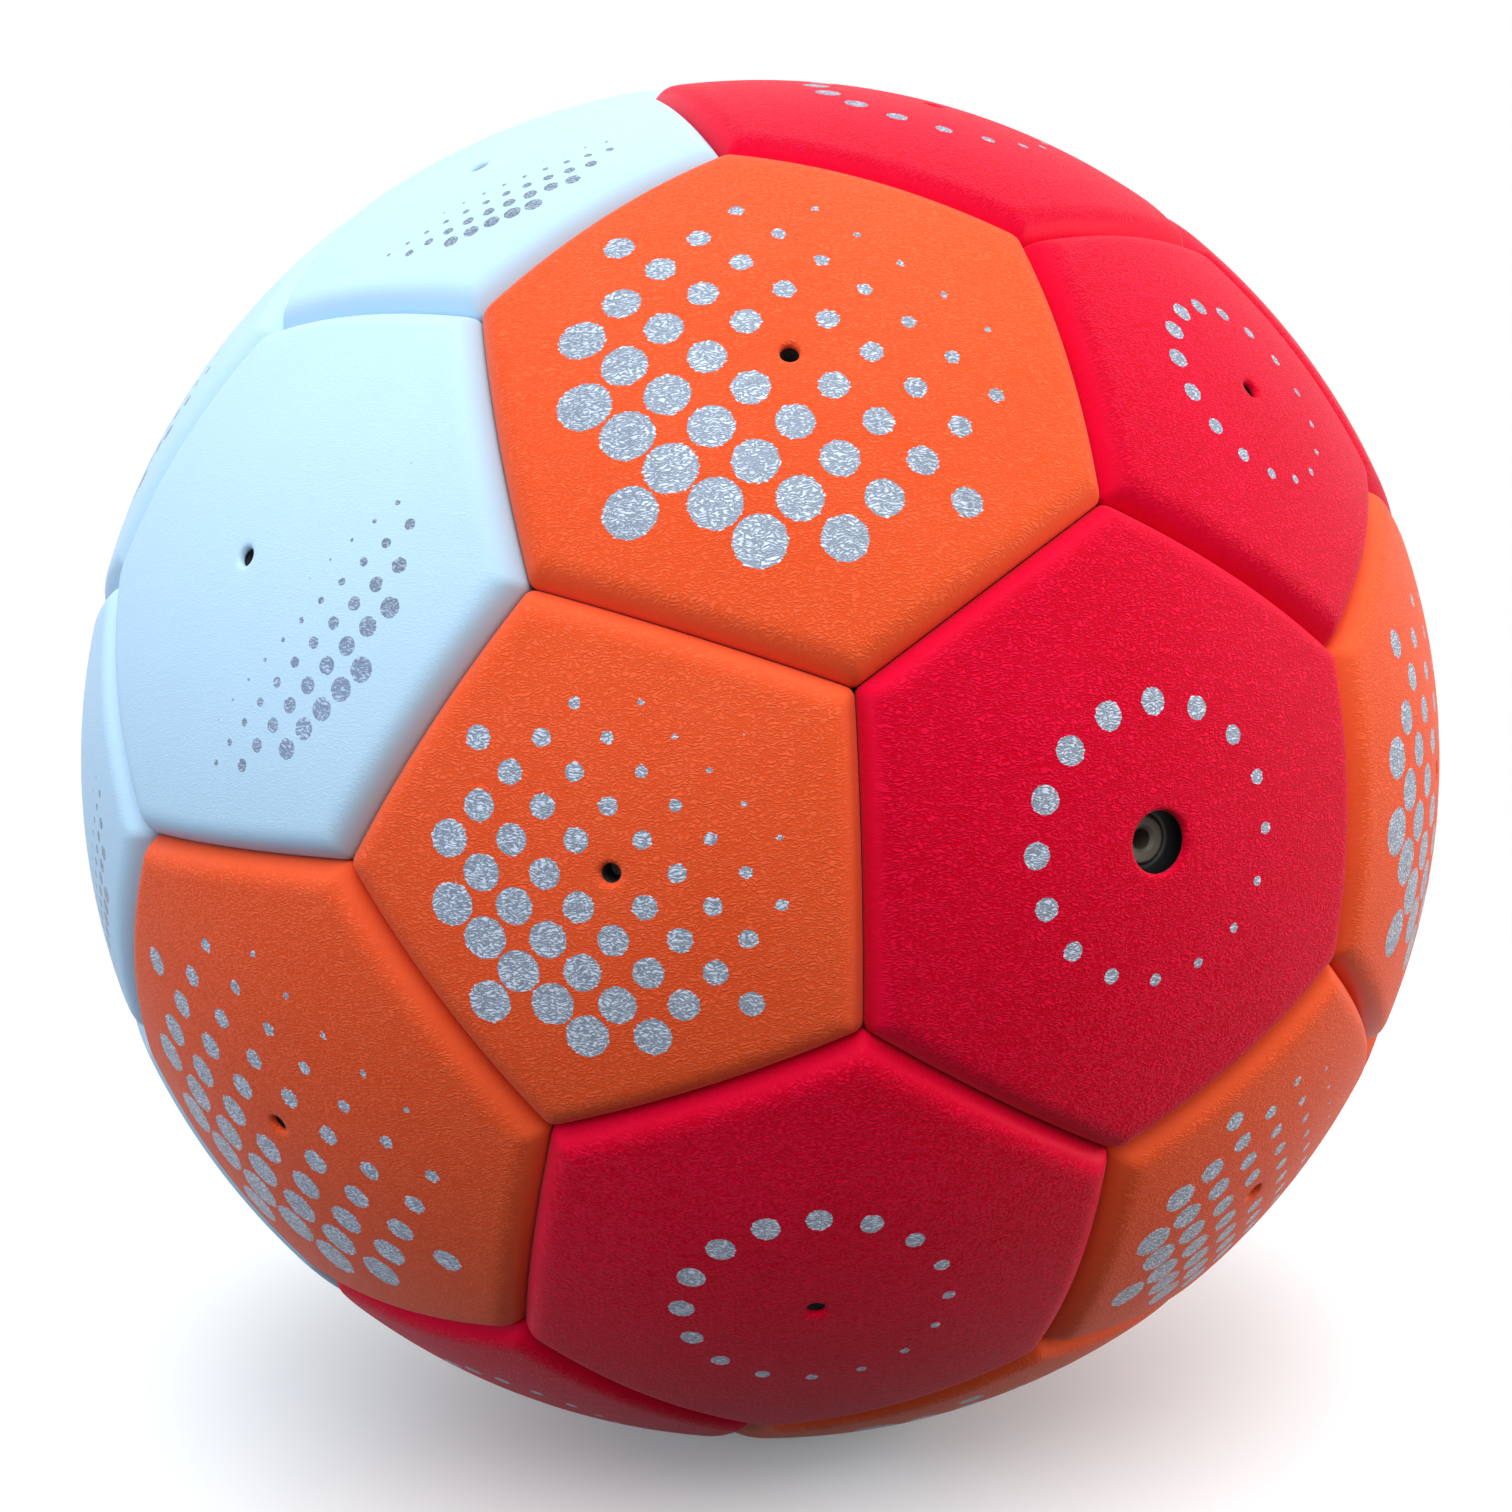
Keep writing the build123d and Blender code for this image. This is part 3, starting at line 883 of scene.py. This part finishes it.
# Matt paper: white to the eye, and dark to the light that bounces off it, so that undersides keep their shade
paper = bpy.data.materials.new("white_studio_paper")
paper.use_nodes = True
paper_tree = paper.node_tree
paper_output = paper_tree.nodes["Material Output"]
paper_shader = paper_tree.nodes["Principled BSDF"]
paper_shader.inputs["Roughness"].default_value = 0.9
paper_shader.inputs["Specular IOR Level"].default_value = 0
paper_seen = background_rays(paper_tree)
paper_colour = add_node(
    paper_tree,
    "ShaderNodeMix",
    {"Factor": paper_seen, "A": linear("#383838"), "B": linear("#FBFBFB")},
    data_type="RGBA",
)
paper_tree.links.new(paper_colour.outputs["Result"], paper_shader.inputs["Base Color"])
paper_spot = add_node(paper_tree, "ShaderNodeTexCoord").outputs["Object"]
paper_distance = add_node(
    paper_tree, "ShaderNodeVectorMath", {0: paper_spot}, operation="LENGTH"
).outputs["Value"]
far = add_node(
    paper_tree,
    "ShaderNodeMapRange",
    {0: paper_distance, 1: floor_near, 2: floor_reach, 3: near_glow, 4: 1},
    interpolation_type="SMOOTHSTEP",
).outputs[0]
far_seen = add_node(paper_tree, "ShaderNodeMath", {0: far, 1: paper_seen}, operation="MULTIPLY").outputs[0]
glow = add_node(paper_tree, "ShaderNodeEmission", {"Color": white_light, "Strength": 1})
mixed = add_node(
    paper_tree, "ShaderNodeMixShader", {0: far_seen, 1: paper_shader.outputs[0], 2: glow.outputs[0]}
)
paper_tree.links.new(mixed.outputs[0], paper_output.inputs["Surface"])
floor.data.materials.append(paper)

world = bpy.data.worlds.new("studio")
bpy.context.scene.world = world
world.use_nodes = True
world_tree = world.node_tree
sky = world_tree.nodes["Background"]
sky_seen = background_rays(world_tree)
sky_way = add_node(world_tree, "ShaderNodeTexCoord").outputs["Generated"]
sky_height = add_node(world_tree, "ShaderNodeSeparateXYZ", {0: sky_way}).outputs["Z"]
dome = add_node(
    world_tree,
    "ShaderNodeMapRange",
    {0: sky_height, 1: dome_foot, 2: dome_top, 3: 0, 4: 1},
    interpolation_type="SMOOTHSTEP",
).outputs[0]
sky_strength = add_node(
    world_tree, "ShaderNodeMix", {"Factor": sky_seen, 2: dome, 3: 1.0}, data_type="FLOAT"
).outputs["Result"]
world_tree.links.new(sky_strength, sky.inputs["Strength"])
sky.inputs["Color"].default_value = white_light

for name, place, power, colour in (
    ("overhead_softbox", (-0.1, -0.2, 1.0), 4.0, "#DDF3FF"),
    ("left_softbox", (-1.08, 0.1, 0.08), 5.4, "#BCDBFF"),
    ("front_softbox", (-0.33, -0.7, 0.78), 4.8, "#FFFFFF"),
    ("right_softbox", (0.96, -0.51, 0.19), 7.2, "#FFFFFF"),
):
    lamp = bpy.data.lights.new(name, "AREA")
    lamp.shape = "SQUARE"
    lamp.size = lamp_size
    lamp.energy = power
    lamp.color = linear(colour)[:3]
    lamp_object = bpy.data.objects.new(name, lamp)
    bpy.context.scene.collection.objects.link(lamp_object)
    lamp_object.location = place
    lamp_object.rotation_euler = (-Vector(place)).to_track_quat("-Z", "Y").to_euler()

# Camera
# It stands 28 degrees to the left of the valve and 7 degrees above the middle, close enough that the ball
# fills the frame.
frame_pixels = 1512
focal_pixels = 2353
ball_centre_pixels = (760.3, 759.1)
camera_distance = 3.605 * outer_radius
camera_swing = Matrix.Rotation(radians(27.7), 3, "Z")
camera_roll = Matrix.Rotation(radians(-1.7), 3, "Y")
camera_tilt = Matrix.Rotation(radians(7.2), 3, "X")
camera_data = bpy.data.cameras.new("camera")
camera = bpy.data.objects.new("camera", camera_data)
bpy.context.scene.collection.objects.link(camera)
bpy.context.scene.camera = camera
camera_turn = (camera_tilt @ camera_roll @ camera_swing).transposed()
camera.matrix_world = Matrix.Translation(camera_turn @ Vector((0, -camera_distance, 0))) @ (
    camera_turn @ Matrix.Rotation(pi / 2, 3, "X")
).to_4x4()
camera_data.lens = camera_data.sensor_width * focal_pixels / frame_pixels
camera_data.shift_x = (frame_pixels / 2 - ball_centre_pixels[0]) / frame_pixels
camera_data.shift_y = (ball_centre_pixels[1] - frame_pixels / 2) / frame_pixels
camera_data.clip_start = 0.01
bpy.context.scene.view_settings.view_transform = "Standard"
